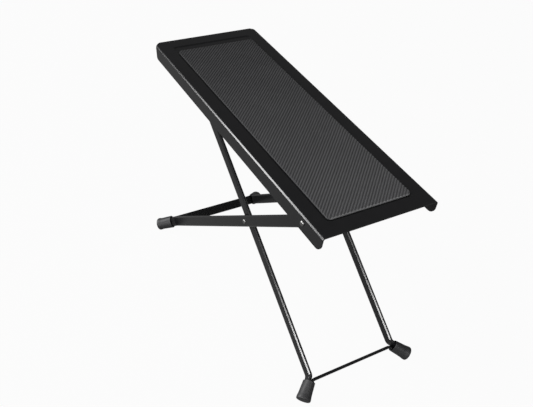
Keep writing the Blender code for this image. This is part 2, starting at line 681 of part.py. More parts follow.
def make_inner_frame(frame, paint, rubber, zinc):
    """Two legs, the locking rod between their tops, the tie rod between their feet, and two caps."""
    place(new_piece("locking_rod", lock_rod_shape(), zinc), frame, (-LEG_RISE, 0, 0), (0, 1, 0))
    section = rod_section(TIE_ROD_RADIUS)
    tie = cross_member(LEG_LAYER, LEG_REACH, LEG_NECK, 1, 2 * TIE_ROD_RADIUS, TIE_ROD_OUTSET,
                       TIE_ROD_BEND_RADIUS, section, section)
    place(new_piece("bottom_tie_rod", tie, paint), frame)
    for side, word in ((-1, "near"), (1, "far")):
        bar = bar_with_foot(-LEG_RISE, LEG_LAYER, LEG_WIDTH, LEG_REACH, LEG_NECK, LEG_BEND_RADIUS, side, 1)
        leg = new_piece("inner_leg_" + word, bar, paint)
        drill(leg, leg.name + "_crossing_hole", 0, HOLE_RADIUS, PLATE_WIDTH)
        drill(leg, leg.name + "_rod_hole", -LEG_RISE, LOCK_ROD_TENON_RADIUS + SEAT_GAP, PLATE_WIDTH)
        place(leg, frame)
        add_cap("inner_foot_" + word, frame, LEG_LAYER, LEG_REACH, LEG_NECK, side, 1,
                2 * TIE_ROD_RADIUS, rubber)


def world_bounds(pieces):
    """Lowest and highest corners of all finished pieces."""
    bpy.context.view_layer.update()
    depsgraph = bpy.context.evaluated_depsgraph_get()
    points = []
    for piece in pieces:
        solid = piece.evaluated_get(depsgraph)
        points += [solid.matrix_world @ vertex.co for vertex in solid.data.vertices]
    low = Vector([min(point[k] for point in points) for k in range(3)])
    high = Vector([max(point[k] for point in points) for k in range(3)])
    return low, high


def main():
    for old in list(bpy.data.objects):
        bpy.data.objects.remove(old, do_unlink=True)
    paint = material("satin_black_paint", (0.028, 0.028, 0.029), 0.38, 0.0)
    mat_rubber = material("charcoal_ribbed_rubber", (0.055, 0.055, 0.056), 0.75, 0.0)
    foot_rubber = material("dark_grey_foot_rubber", (0.045, 0.045, 0.046), 0.6, 0.0)
    steel = material("bright_steel", (0.62, 0.62, 0.63), 0.28, 1.0)
    zinc = material("zinc_plated_steel", (0.5, 0.5, 0.52), 0.4, 1.0)

    stand = frame_empty("footrest", (0, 0, 0), 0)
    pivot = Vector((0, 0, PIVOT_HEIGHT))
    crossing = pivot - CROSSING_REACH * Vector((math.cos(ARM_SLOPE), 0, math.sin(ARM_SLOPE)))
    platform = frame_empty("platform_frame", pivot, PLATFORM_TILT)
    outer = frame_empty("outer_frame", pivot, -ARM_SLOPE)
    inner = frame_empty("inner_frame", crossing, LEG_SLOPE)
    for frame in (platform, outer, inner):
        frame.parent = stand
    make_platform(platform, paint, mat_rubber, steel, zinc)
    make_outer_frame(outer, paint, foot_rubber, steel, zinc)
    make_inner_frame(inner, paint, foot_rubber, zinc)

    pieces = [piece for piece in bpy.data.objects if piece.type == "MESH" and not piece.hide_render]
    low, high = world_bounds(pieces)
    stand.location = (-(low.x + high.x) / 2, -(low.y + high.y) / 2, -low.z)
    bpy.context.view_layer.update()
    low, high = world_bounds(pieces)
    print("size", [round(value, 5) for value in high - low], "pieces", len(pieces))
    print("platform pivot", [round(value, 6) for value in platform.matrix_world.translation])
    print("crossing pivot", [round(value, 6) for value in inner.matrix_world.translation])
    print("platform tilt", round(math.degrees(PLATFORM_TILT), 4),
          "arm slope", round(math.degrees(ARM_SLOPE), 4), "leg slope", round(math.degrees(LEG_SLOPE), 4))
    print("platform to arm", round(math.degrees(PLATFORM_TO_ARM), 4), "arm to leg",
          round(math.degrees(ARM_TO_LEG), 4), "ratio", round(ARM_TO_LEG / PLATFORM_TO_ARM, 6))


main()
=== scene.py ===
# %% [markdown]
# # A folding guitar footrest
#
# The object is a pressed steel platform with a ribbed rubber mat, on two crossed frames of flat bar with
# rubber feet. The solids from CAD come in as a fixed frame: they say where everything is. This script
# dresses them. It models each visible piece again with soft edges, and gives every piece its real finish.

# %% Load the frame
import json
import math

import bpy
from mathutils import Matrix, Vector


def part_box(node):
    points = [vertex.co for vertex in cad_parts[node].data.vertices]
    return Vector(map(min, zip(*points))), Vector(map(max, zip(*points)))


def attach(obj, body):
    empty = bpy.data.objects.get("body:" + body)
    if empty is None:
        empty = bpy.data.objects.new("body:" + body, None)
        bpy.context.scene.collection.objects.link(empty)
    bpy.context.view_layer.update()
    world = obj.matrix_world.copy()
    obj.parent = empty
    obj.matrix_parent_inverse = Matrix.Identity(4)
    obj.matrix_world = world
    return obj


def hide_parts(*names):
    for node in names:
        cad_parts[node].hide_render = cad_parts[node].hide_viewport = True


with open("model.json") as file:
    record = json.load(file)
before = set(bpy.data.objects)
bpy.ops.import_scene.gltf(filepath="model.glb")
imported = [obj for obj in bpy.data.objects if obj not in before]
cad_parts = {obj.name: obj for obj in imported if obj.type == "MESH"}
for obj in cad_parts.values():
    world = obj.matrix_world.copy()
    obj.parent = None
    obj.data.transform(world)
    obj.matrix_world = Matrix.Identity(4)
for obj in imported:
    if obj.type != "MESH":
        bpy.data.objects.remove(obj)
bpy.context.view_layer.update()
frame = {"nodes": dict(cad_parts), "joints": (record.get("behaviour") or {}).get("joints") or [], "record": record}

# %% [markdown]
# ## Three sets of axes
#
# Each moving frame lies at its own angle, and a straight bar is easiest to draw along its own X axis. So
# the pivots are read from the joints, and the slopes from what lies between them. A piece is drawn flat and
# then laid into its frame by one matrix. The far side is the near side seen in a mirror.

# %% Axes of the platform, the outer frame and the inner frame
MM = 0.001
MIRROR = Matrix.Diagonal((1, -1, 1, 1))
joints = {joint["name"]: joint for joint in frame["joints"]}
platform_pivot = Vector(joints["platform_fold"]["pos_m"])
crossing_pivot = Vector(joints["inner_frame_fold"]["pos_m"])
sole_normal = Vector(frame["record"]["mounts"][0]["axis"])
rod_low, rod_high = (Vector(corner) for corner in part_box("locking_rod"))
rod_middle = (rod_low + rod_high) / 2
arm_line = platform_pivot - crossing_pivot
leg_line = rod_middle - crossing_pivot
platform_tilt = math.atan2(sole_normal.x, sole_normal.z)
arm_slope = math.atan2(arm_line.z, arm_line.x)
leg_slope = math.atan2(leg_line.z, -leg_line.x)
print("tilt, arm, leg", [round(math.degrees(angle), 2) for angle in (platform_tilt, arm_slope, leg_slope)])


def axes_at(pivot, pitch):
    """A frame's own axes, turned about Y at its pivot."""
    return Matrix.Translation(pivot) @ Matrix.Rotation(pitch, 4, "Y")


platform_axes = axes_at(platform_pivot, platform_tilt)
outer_axes = axes_at(platform_pivot, -arm_slope)
inner_axes = axes_at(crossing_pivot, leg_slope)

# %% [markdown]
# ## How finishes are written
#
# Colours are written as sRGB hex values, as a paint chart gives them, and one function turns them linear.
# One more function adds any node with its settings and links, so that each finish reads as a recipe.
# Sockets that share a name go by their number, and those of the mix node get names here. Grain could come
# from pictures, but every piece would have to be unwrapped for them. Noise in object coordinates needs none
# of that, and its scale is simply one over a grain's size.

# %% Colour and node helpers
MIX_FROM = 6
MIX_TO = 7
MIX_RESULT = 2
MIX_NUMBER_FROM = 2
MIX_NUMBER_TO = 3


def colour(hex_value):
    """An sRGB hex value as linear red, green, blue and alpha."""
    parts = [int(hex_value[k:k + 2], 16) / 255 for k in (1, 3, 5)]
    linear = [part / 12.92 if part <= 0.04045 else ((part + 0.055) / 1.055) ** 2.4 for part in parts]
    return (*linear, 1)


def add_node(tree, kind, settings=None, links=None):
    """Add a node, with its settings by name or input number, and its links as input to output socket."""
    node = tree.nodes.new(kind)
    for name, value in (settings or {}).items():
        if isinstance(name, int) or name in node.inputs:
            node.inputs[name].default_value = value
        else:
            setattr(node, name, value)
    for name, source in (links or {}).items():
        tree.links.new(source, node.inputs[name])
    return node


def new_finish(name, settings):
    """A new finish, with its node tree and its shader."""
    finish = bpy.data.materials.new(name)
    finish.use_nodes = True
    shader = finish.node_tree.nodes["Principled BSDF"]
    for socket, value in settings.items():
        shader.inputs[socket].default_value = value
    print("finish", name)
    return finish, finish.node_tree, shader


# %% [markdown]
# ## Black powder coat
#
# The steel is sprayed with black polyester powder and baked. The film flows out and keeps a very shallow
# orange peel, about a millimetre from lump to lump. It is glossy enough that a lamp shows as a clean streak
# along a fold or a chamfer, and so black that the flat faces show little but what they mirror. The peel is
# a bump, and a broader noise lets the gloss and the black vary, as a sprayed film does.

# %% Powder coat
PEEL_SIZE = 1.1 * MM
PEEL_DEPTH = 0.02 * MM
FILM_PATCH = 9 * MM
powder_coat, tree, shader = new_finish("black polyester powder coat", {
    "Base Color": colour("#111112"), "Roughness": 0.22, "Specular IOR Level": 0.3})
place = add_node(tree, "ShaderNodeTexCoord").outputs["Object"]
peel = add_node(tree, "ShaderNodeTexNoise", {"Scale": 1 / PEEL_SIZE, "Detail": 3}, {"Vector": place})
bump = add_node(tree, "ShaderNodeBump", {"Distance": PEEL_DEPTH, "Strength": 0.12},
                {"Height": peel.outputs["Fac"]})
tree.links.new(bump.outputs["Normal"], shader.inputs["Normal"])
film = add_node(tree, "ShaderNodeTexNoise", {"Scale": 1 / FILM_PATCH, "Detail": 2}, {"Vector": place})
gloss = add_node(tree, "ShaderNodeMapRange", {"To Min": 0.19, "To Max": 0.26}, {"Value": film.outputs["Fac"]})
tree.links.new(gloss.outputs["Result"], shader.inputs["Roughness"])
black = add_node(tree, "ShaderNodeMix",
                 {"data_type": "RGBA", MIX_FROM: colour("#0f0f10"), MIX_TO: colour("#131314")},
                 {0: film.outputs["Fac"]})
tree.links.new(black.outputs[MIX_RESULT], shader.inputs["Base Color"])

# %% [markdown]
# ## Ribbed mat rubber
#
# The mat is cut from ribbed sheet rubber: dull, charcoal, and a little dusty. Fillers leave a fine grain in
# it. Dust lies in patches some centimetres across. The low half is painted paler, as painted light, and a
# thin line along the low cut edge is painted palest of all, as a painted highlight. A ramp along the
# platform, mixed with the dust, sets how pale the rubber is, so the painted light has no edge of its own.

# %% Mat rubber
MAT_EDGE_PLACE = 117.3 * MM
# Width of the painted highlight, a pale line along the mat's low cut edge.
MAT_EDGE_HIGHLIGHT = 0.8 * MM
# Reach each way of the painted light, which makes the mat paler toward its low end.
PAINTED_LIGHT_REACH = 120 * MM
DUST_PATCH = 24 * MM
FILLER_SIZE = 0.6 * MM
FILLER_DEPTH = 0.04 * MM
mat_rubber, tree, shader = new_finish("charcoal sheet rubber", {
    "Base Color": colour("#343435"), "Roughness": 0.7, "Specular IOR Level": 0.2})
place = add_node(tree, "ShaderNodeTexCoord").outputs["Object"]
filler = add_node(tree, "ShaderNodeTexNoise", {"Scale": 1 / FILLER_SIZE, "Detail": 3}, {"Vector": place})
bump = add_node(tree, "ShaderNodeBump", {"Distance": FILLER_DEPTH, "Strength": 0.5},
                {"Height": filler.outputs["Fac"]})
tree.links.new(bump.outputs["Normal"], shader.inputs["Normal"])
dust = add_node(tree, "ShaderNodeTexNoise", {"Scale": 1 / DUST_PATCH, "Detail": 5, "Roughness": 0.65},
                {"Vector": place})
along = add_node(tree, "ShaderNodeSeparateXYZ", {}, {"Vector": place})
# Painted light: a ramp along X makes the mat paler toward the low end.
painted_light_ramp = add_node(tree, "ShaderNodeMapRange", {"From Min": -PAINTED_LIGHT_REACH, "From Max": PAINTED_LIGHT_REACH},
                {"Value": along.outputs["X"]})
# Real dust, mixed with the painted light.
dust_and_painted_light = add_node(tree, "ShaderNodeMix", {"data_type": "FLOAT", "Factor": 0.65},
                {MIX_NUMBER_FROM: dust.outputs["Fac"], MIX_NUMBER_TO: painted_light_ramp.outputs["Result"]})
charcoal = add_node(tree, "ShaderNodeMix",
                    {"data_type": "RGBA", MIX_FROM: colour("#262627"), MIX_TO: colour("#3e3e3f")},
                    {0: dust_and_painted_light.outputs["Result"]})
# Painted highlight: a thin pale line at the mat's low cut edge.
painted_edge_highlight = add_node(tree, "ShaderNodeMapRange",
                 {"From Min": MAT_EDGE_PLACE - MAT_EDGE_HIGHLIGHT, "From Max": MAT_EDGE_PLACE},
                 {"Value": along.outputs["X"]})
rubber = add_node(tree, "ShaderNodeMix", {"data_type": "RGBA", MIX_TO: colour("#646465")},
                  {0: painted_edge_highlight.outputs["Result"], MIX_FROM: charcoal.outputs[MIX_RESULT]})
tree.links.new(rubber.outputs[MIX_RESULT], shader.inputs["Base Color"])

# %% [markdown]
# ## Foot rubber
#
# The caps are moulded in a softer, blacker compound. It blooms grey in patches a few millimetres across,
# and the mould leaves it half matt, so that a lamp shows only as a soft sheen. Bloom changes the colour and
# the gloss together, so one noise drives both, and a finer one makes the pores.

# %% Moulded rubber
BLOOM_PATCH = 3 * MM
PORE_SIZE = 1.2 * MM
PORE_DEPTH = 0.06 * MM
foot_rubber, tree, shader = new_finish("moulded foot rubber", {
    "Base Color": colour("#232324"), "Roughness": 0.5, "Specular IOR Level": 0.3})
place = add_node(tree, "ShaderNodeTexCoord").outputs["Object"]
bloom = add_node(tree, "ShaderNodeTexNoise", {"Scale": 1 / BLOOM_PATCH, "Detail": 5, "Roughness": 0.6},
                 {"Vector": place})
grey = add_node(tree, "ShaderNodeMix",
                {"data_type": "RGBA", MIX_FROM: colour("#1a1a1b"), MIX_TO: colour("#2d2d2e")},
                {0: bloom.outputs["Fac"]})
tree.links.new(grey.outputs[MIX_RESULT], shader.inputs["Base Color"])
matt = add_node(tree, "ShaderNodeMapRange", {"To Min": 0.44, "To Max": 0.6}, {"Value": bloom.outputs["Fac"]})
tree.links.new(matt.outputs["Result"], shader.inputs["Roughness"])
pores = add_node(tree, "ShaderNodeTexNoise", {"Scale": 1 / PORE_SIZE, "Detail": 4}, {"Vector": place})
bump = add_node(tree, "ShaderNodeBump", {"Distance": PORE_DEPTH, "Strength": 0.4},
                {"Height": pores.outputs["Fac"]})
tree.links.new(bump.outputs["Normal"], shader.inputs["Normal"])

# %% [markdown]
# ## Rivet steel and zinc plate
#
# The rivets are bare steel that has dulled, with marks left by the setting tool: dark, but with a bright
# glint. What hides below the platform is zinc plated, and keeps the faint crystals that zinc grows in. A
# Voronoi texture has just such flat cells. They differ in gloss, not in colour, so it drives the roughness.

# %% Rivet steel and zinc
TOOL_MARK_SIZE = 0.9 * MM
TOOL_MARK_DEPTH = 0.03 * MM
SPANGLE_SIZE = 3 * MM
rivet_steel, tree, shader = new_finish("dulled rivet steel", {
    "Base Color": colour("#7e7e7d"), "Roughness": 0.3, "Metallic": 1})
place = add_node(tree, "ShaderNodeTexCoord").outputs["Object"]
marks = add_node(tree, "ShaderNodeTexNoise", {"Scale": 1 / TOOL_MARK_SIZE, "Detail": 2}, {"Vector": place})
bump = add_node(tree, "ShaderNodeBump", {"Distance": TOOL_MARK_DEPTH, "Strength": 0.4},
                {"Height": marks.outputs["Fac"]})
tree.links.new(bump.outputs["Normal"], shader.inputs["Normal"])

zinc_plate, tree, shader = new_finish("zinc plate", {
    "Base Color": colour("#a4a8ad"), "Roughness": 0.42, "Metallic": 1})
place = add_node(tree, "ShaderNodeTexCoord").outputs["Object"]
spangle = add_node(tree, "ShaderNodeTexVoronoi", {"Scale": 1 / SPANGLE_SIZE}, {"Vector": place})
levels = add_node(tree, "ShaderNodeMapRange", {"To Min": 0.34, "To Max": 0.5},
                  {"Value": spangle.outputs["Color"]})
tree.links.new(levels.outputs["Result"], shader.inputs["Roughness"])

# %% [markdown]
# ## Laying a piece in its place
#
# A pattern is modelled once, in plain axes. For each place it gets a copy with a mesh of its own, which is
# laid into its frame. A mirrored copy comes out inside out, so every copy has its faces turned outwards
# again. Then its soft edges are shaded. It takes the place of a CAD node and rides on that node's body.

# %% Selecting and laying helpers
SMOOTH_ANGLE = math.radians(38)
NEAR_ENOUGH = 0.01 * MM
MERGE_DISTANCE = 0.001 * MM
body_of = {node: body for body, nodes in frame["record"]["behaviour"]["bodies"].items() for node in nodes}


def edit_new_piece(size=(1, 1, 1)):
    """Give the piece just added its size, and go to edit mode with all of it selected."""
    piece = bpy.context.object
    piece.scale = size
    bpy.ops.object.transform_apply(location=True, rotation=True, scale=True)
    bpy.ops.object.mode_set(mode="EDIT")
    bpy.ops.mesh.select_all(action="SELECT")
    return piece


def select_points(piece, wanted, mode="VERT"):
    """Select the points that pass a test, by their place, and go to edit mode."""
    bpy.ops.object.mode_set(mode="OBJECT")
    mesh = piece.data
    chosen = [wanted(vertex.co) for vertex in mesh.vertices]
    mesh.polygons.foreach_set("select", [all(chosen[k] for k in face.vertices) for face in mesh.polygons])
    mesh.edges.foreach_set("select", [all(chosen[k] for k in edge.vertices) for edge in mesh.edges])
    mesh.vertices.foreach_set("select", chosen)
    bpy.ops.object.mode_set(mode="EDIT")
    bpy.ops.mesh.select_mode(type=mode)
    return sum(chosen)


def lay_pieces(pattern, finish, places):
    """Lay a copy of the pattern at each place, given as (name, CAD node, axes)."""
    if bpy.context.mode != "EDIT_MESH":
        bpy.ops.object.mode_set(mode="EDIT")
    bpy.ops.mesh.select_mode(type="VERT")
    bpy.ops.mesh.select_all(action="SELECT")
    bpy.ops.mesh.remove_doubles(threshold=MERGE_DISTANCE)
    bpy.ops.object.mode_set(mode="OBJECT")
    for name, node, axes in places:
        bpy.ops.object.select_all(action="DESELECT")
        piece = pattern.copy()
        piece.data = pattern.data.copy()
        bpy.context.scene.collection.objects.link(piece)
        piece.matrix_world = axes
        bpy.context.view_layer.objects.active = piece
        piece.select_set(True)
        bpy.ops.object.transform_apply(location=True, rotation=True, scale=True)
        bpy.ops.object.mode_set(mode="EDIT")
        bpy.ops.mesh.select_all(action="SELECT")
        bpy.ops.mesh.normals_make_consistent(inside=False)
        bpy.ops.object.mode_set(mode="OBJECT")
        bpy.ops.object.shade_smooth_by_angle(angle=SMOOTH_ANGLE)
        even = piece.modifiers.new("even shading", "WEIGHTED_NORMAL")
        even.keep_sharp = True
        bpy.ops.object.modifier_apply(modifier=even.name)
        piece.name = piece.data.name = name
        piece.data.materials.append(finish)
        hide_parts(node)
        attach(piece, body_of[node])
    print([name for name, node, axes in places], "faces", len(pattern.data.polygons))
    bpy.data.objects.remove(pattern)


# %% [markdown]
# ## The pressed platform
#
# A press tool stamps the shallow recess for the mat and folds both long sides down into flanges. The
# corners at the raised end are cut back before the folding. So the model starts with the floor of the
# recess, grows outwards over the pressed slope to the flat border, and is then folded over at both sides
# and given its thickness. It could be carved from a block, but a folded sheet stays evenly thick round
# every bend. The flanges are a little less deep at the raised end. In a script with no window,
# transform.rotate turns the other way, so here and below its angles have the opposite sign.

# %% Platform sizes
PLATE_LENGTH = 276 * MM
PLATE_WIDTH = 105 * MM
SHEET = 1.2 * MM
FLANGE_DEPTH = 13.2 * MM
RAISED_FLANGE_DEPTH = 11.5 * MM
FOLD_RADIUS = 2.5 * MM
FOLD_STEPS = 12
LOW_CORNER_RADIUS = 6 * MM
RAISED_CORNER_RADIUS = 2 * MM
CUT_INBOARD = 2.5 * MM
CUT_LENGTH = 5.6 * MM
CUT_SETBACK = 4.1 * MM
END_SLANT = math.radians(20)
RECESS_LENGTH = 252.7 * MM
RECESS_WIDTH = 80.4 * MM
RECESS_LOW_BORDER = 12.3 * MM
RECESS_DEPTH = 0.8 * MM
RECESS_SLOPE = 1.7 * MM
RECESS_CORNER = 3.5 * MM
SLOPE_STEPS = 8
PIVOT_INSET = 24.2 * MM
TOP = 6.2 * MM
CORNER_STEPS = 8
LIP_BEVEL = 0.25 * MM
LIP_ANGLE = math.radians(55)
SOFT_STEPS = 2
QUARTER_TURN = math.pi / 2

low_end = PIVOT_INSET
raised_end = PIVOT_INSET - PLATE_LENGTH
plate_middle = (low_end + raised_end) / 2
recess_middle = low_end - RECESS_LOW_BORDER - RECESS_LENGTH / 2
fold_y = PLATE_WIDTH / 2 - FOLD_RADIUS
fold_z = TOP - FOLD_RADIUS
print("plate from", round(low_end / MM, 1), "to", round(raised_end / MM, 1), "along the platform")


# %% Recess floor and pressed slope
def flat_rectangle(length, width, centre, corner):
    """A plane at its size and place, with round corners, left in edit mode."""
    bpy.ops.object.select_all(action="DESELECT")
    bpy.ops.mesh.primitive_plane_add(size=1, location=centre)
    sheet = edit_new_piece((length, width, 1))
    bpy.ops.mesh.bevel(offset=corner, segments=CORNER_STEPS, affect="VERTICES")
    return sheet


length, width = RECESS_LENGTH - 2 * RECESS_SLOPE, RECESS_WIDTH - 2 * RECESS_SLOPE
height = TOP - RECESS_DEPTH
platform = flat_rectangle(length, width, (recess_middle, 0, height), RECESS_CORNER)
bpy.ops.mesh.region_to_loop()
for k in range(1, SLOPE_STEPS + 1):
    share = k / SLOPE_STEPS
    next_length = RECESS_LENGTH - 2 * RECESS_SLOPE * (1 - share)
    next_width = RECESS_WIDTH - 2 * RECESS_SLOPE * (1 - share)
    next_height = TOP - RECESS_DEPTH * (1 + math.cos(math.pi * share)) / 2
    bpy.ops.mesh.extrude_region_move(TRANSFORM_OT_translate={"value": (0, 0, next_height - height)})
    bpy.ops.transform.resize(value=(next_length / length, next_width / width, 1),
                             center_override=(recess_middle, 0, TOP))
    length, width, height = next_length, next_width, next_height
print("recess", round(length / MM, 1), "by", round(width / MM, 1))

# %% Flat border
bpy.ops.mesh.select_all(action="DESELECT")
bpy.ops.mesh.primitive_plane_add(size=1, location=(plate_middle, 0, TOP))
bpy.ops.transform.resize(value=(PLATE_LENGTH, 2 * fold_y, 1), center_override=(plate_middle, 0, TOP))
bpy.ops.mesh.delete(type="ONLY_FACE")
print("border points", select_points(platform, lambda co: abs(co.z - TOP) < NEAR_ENOUGH, "EDGE"))
bpy.ops.mesh.fill(use_beauty=True)
for y in (CUT_INBOARD - fold_y, fold_y - CUT_INBOARD):
    bpy.ops.mesh.select_all(action="SELECT")
    bpy.ops.mesh.bisect(plane_co=(0, y, 0), plane_no=(0, 1, 0))

# %% Fold both flanges down
for side in (-1, 1):
    select_points(platform, lambda co: abs(co.y - side * fold_y) < NEAR_ENOUGH, "EDGE")
    for _ in range(FOLD_STEPS):
        bpy.ops.mesh.extrude_region_move(TRANSFORM_OT_translate={"value": (0, 0, 0)})
        bpy.ops.transform.rotate(value=side * QUARTER_TURN / FOLD_STEPS, orient_axis="X",
                                 center_override=(0, side * fold_y, fold_z))
    bpy.ops.mesh.extrude_region_move(TRANSFORM_OT_translate={"value": (0, 0, FOLD_RADIUS - FLANGE_DEPTH)})
bpy.ops.object.mode_set(mode="OBJECT")
print("folded sheet faces", len(platform.data.polygons))


# %% [markdown]
# The raised end's outline is a cut made in the flat sheet, so it is worked out along the sheet: from the
# flat border, over the fold and down the flange. Each end point slides back by what the cut takes away
# there, and the flange's lower corner is first lifted to its own depth.

# %% Cut the raised end
def cut_back(along):
    """How far the raised end is cut back at a place along the sheet; the fold starts at zero."""
    into = along + CUT_INBOARD
    if into <= CUT_LENGTH:
        return max(0, CUT_SETBACK * into / CUT_LENGTH)
    return CUT_SETBACK + (into - CUT_LENGTH) * math.tan(END_SLANT)


def along_sheet(co):
    """A point's distance along the sheet from where the fold starts."""
    out, up = abs(co.y) - fold_y, co.z - fold_z
    if out <= 0:
        return out
    if up >= 0:
        return FOLD_RADIUS * math.atan2(out, up)
    return FOLD_RADIUS * QUARTER_TURN - up


raised_foot = TOP - RAISED_FLANGE_DEPTH
select_points(platform, lambda co: abs(co.x - raised_end) < NEAR_ENOUGH and co.z < raised_foot)
bpy.ops.transform.translate(value=(0, 0, FLANGE_DEPTH - RAISED_FLANGE_DEPTH))
bpy.ops.object.mode_set(mode="OBJECT")
end_points = [vertex.co.copy() for vertex in platform.data.vertices
              if abs(vertex.co.x - raised_end) < NEAR_ENOUGH]
for point in end_points:
    if cut_back(along_sheet(point)) > 0:
        select_points(platform, lambda co: (co - point).length < NEAR_ENOUGH)
        bpy.ops.transform.translate(value=(cut_back(along_sheet(point)), 0, 0))
print("end points", len(end_points))

# %% Round the flanges' corners, give the sheet its thickness and soften its lips
for foot, radius in ((TOP - FLANGE_DEPTH, LOW_CORNER_RADIUS), (raised_foot, RAISED_CORNER_RADIUS)):
    select_points(platform, lambda co: abs(co.z - foot) < NEAR_ENOUGH)
    bpy.ops.mesh.bevel(offset=radius, segments=CORNER_STEPS, affect="VERTICES", clamp_overlap=False)
bpy.ops.mesh.select_all(action="SELECT")
bpy.ops.mesh.normals_make_consistent(inside=False)
bpy.ops.object.mode_set(mode="OBJECT")
if max(platform.data.polygons, key=lambda face: face.center.z).normal.z < 0:
    platform.data.flip_normals()
wall = platform.modifiers.new("sheet thickness", "SOLIDIFY")
wall.thickness = SHEET
wall.offset = -1
wall.use_even_offset = True
lips = platform.modifiers.new("soft lips", "BEVEL")
lips.width = LIP_BEVEL
lips.segments = SOFT_STEPS
lips.angle_limit = LIP_ANGLE
for modifier in (wall.name, lips.name):
    bpy.ops.object.modifier_apply(modifier=modifier)
lay_pieces(platform, powder_coat, [("platform_sheet", "top_plate", platform_axes)])

# %% [markdown]
# ## The ribbed mat
#
# Ribbed sheet rubber comes off a roll with rounded ribs, and the mat is cut from it at an angle, so that
# the ribs run across the sole. The model does the same: a large grid gets its ribs by lifting whole
# columns, becomes a thick sheet, is turned, and is then cut out with a round-cornered block. A bump could
# draw the ribs too, but it would leave the cut edge straight. A fine bevel wears that edge.

# %% Ribbed sheet
MAT_LENGTH = 241.5 * MM
MAT_WIDTH = 76 * MM
MAT_CORNER = 3 * MM
MAT_LOW_BORDER = 14.5 * MM
MAT_PROUD = 0.9 * MM
MAT_EDGE = 0.4 * MM
MAT_EDGE_ANGLE = math.radians(50)
SEAT_GAP = 0.3 * MM
RIB_PITCH = 2.14 * MM
RIB_DEPTH = 0.42 * MM
RIB_ANGLE = math.radians(43.2)
RIB_SHARES = (0, 0.16, 0.72, 0.95, 1, 0.95, 0.72, 0.16)

mat_floor = TOP - RECESS_DEPTH + SEAT_GAP
valley = TOP + MAT_PROUD - RIB_DEPTH
mat_middle = low_end - MAT_LOW_BORDER - MAT_LENGTH / 2
rib_count = math.ceil((math.hypot(MAT_LENGTH, MAT_WIDTH) + 2 * RIB_PITCH) / RIB_PITCH)
span = rib_count * RIB_PITCH
column = RIB_PITCH / len(RIB_SHARES)
print("ribs", rib_count, "in a sheet of", round(span / MM, 1))
bpy.ops.object.mode_set(mode="OBJECT")
bpy.ops.object.select_all(action="DESELECT")
bpy.ops.mesh.primitive_grid_add(x_subdivisions=rib_count * len(RIB_SHARES), y_subdivisions=1, size=1,
                                location=(mat_middle, 0, valley))
mat = edit_new_piece((span, span, 1))
for k, share in enumerate(RIB_SHARES):
    if share:
        select_points(mat, lambda co: round((co.x - mat_middle + span / 2) / column) % len(RIB_SHARES) == k)
        bpy.ops.transform.translate(value=(0, 0, share * RIB_DEPTH))
bpy.ops.mesh.select_all(action="SELECT")
bpy.ops.mesh.extrude_region_move(TRANSFORM_OT_translate={"value": (0, 0, mat_floor - valley)})
bpy.ops.transform.resize(value=(1, 1, 0), center_override=(mat_middle, 0, mat_floor))
bpy.ops.mesh.select_all(action="SELECT")
bpy.ops.transform.rotate(value=-RIB_ANGLE, orient_axis="Z", center_override=(mat_middle, 0, 0))
bpy.ops.mesh.normals_make_consistent(inside=False)
bpy.ops.object.mode_set(mode="OBJECT")

# %% Cut the mat out and wear its edge
block = flat_rectangle(MAT_LENGTH, MAT_WIDTH, (mat_middle, 0, mat_floor - SEAT_GAP), MAT_CORNER)
block_height = RECESS_DEPTH + MAT_PROUD + SEAT_GAP
bpy.ops.mesh.extrude_region_move(TRANSFORM_OT_translate={"value": (0, 0, block_height)})
bpy.ops.mesh.select_all(action="SELECT")
bpy.ops.mesh.normals_make_consistent(inside=False)
bpy.ops.object.mode_set(mode="OBJECT")
bpy.ops.object.select_all(action="DESELECT")
bpy.context.view_layer.objects.active = mat
mat.select_set(True)
cut = mat.modifiers.new("cut to outline", "BOOLEAN")
cut.operation = "INTERSECT"
cut.object = block
worn = mat.modifiers.new("worn edge", "BEVEL")
worn.width = MAT_EDGE
worn.segments = SOFT_STEPS
worn.angle_limit = MAT_EDGE_ANGLE
for modifier in (cut.name, worn.name):
    bpy.ops.object.modifier_apply(modifier=modifier)
bpy.data.objects.remove(block)
lay_pieces(mat, mat_rubber, [("ribbed_mat", "rubber_mat", platform_axes)])

# %% [markdown]
# ## Pulling a section along a route
#
# Bars, rods and strips are one section pulled along a route, as a bender does it: straight runs and round
# bends. A curve with a profile could do that too, but an end face that is pulled step by step can also be
# necked down on the way. A section is a plane with its corners bevelled: round for the rod and the strip,
# and as a chamfer for the bars, whose corners are rolled flat in the real ones and catch the light as one
# clean line.

# %% Helpers for pulling a section
ROUND_STEPS = 6
CHAMFER_STEPS = 3
BEND_STEPS = 10


def start_section(thickness, width, corner, spot, heading, chamfer_round=0):
    """A plane with round or chamfered corners, square to the heading, ready in edit mode."""
    bpy.ops.object.select_all(action="DESELECT")
    bpy.ops.mesh.primitive_plane_add(size=1, location=(*spot, 0), rotation=(0, QUARTER_TURN, heading))
    section = edit_new_piece((width, thickness, 1))
    corner_steps = 1 if chamfer_round else ROUND_STEPS
    bpy.ops.mesh.bevel(offset=corner, segments=corner_steps, affect="VERTICES")
    if chamfer_round:
        bpy.ops.mesh.select_all(action="SELECT")
        bpy.ops.mesh.bevel(offset=chamfer_round, segments=CHAMFER_STEPS, affect="VERTICES")
    return section


def ahead(spot, heading, distance):
    """The point at a distance along a heading."""
    return spot[0] + distance * math.cos(heading), spot[1] + distance * math.sin(heading)


def pull(spot, heading, distance):
    """Pull the end face straight on, and give its new spot."""
    end = ahead(spot, heading, distance)
    move = (end[0] - spot[0], end[1] - spot[1], 0)
    bpy.ops.mesh.extrude_region_move(TRANSFORM_OT_translate={"value": move})
    return end


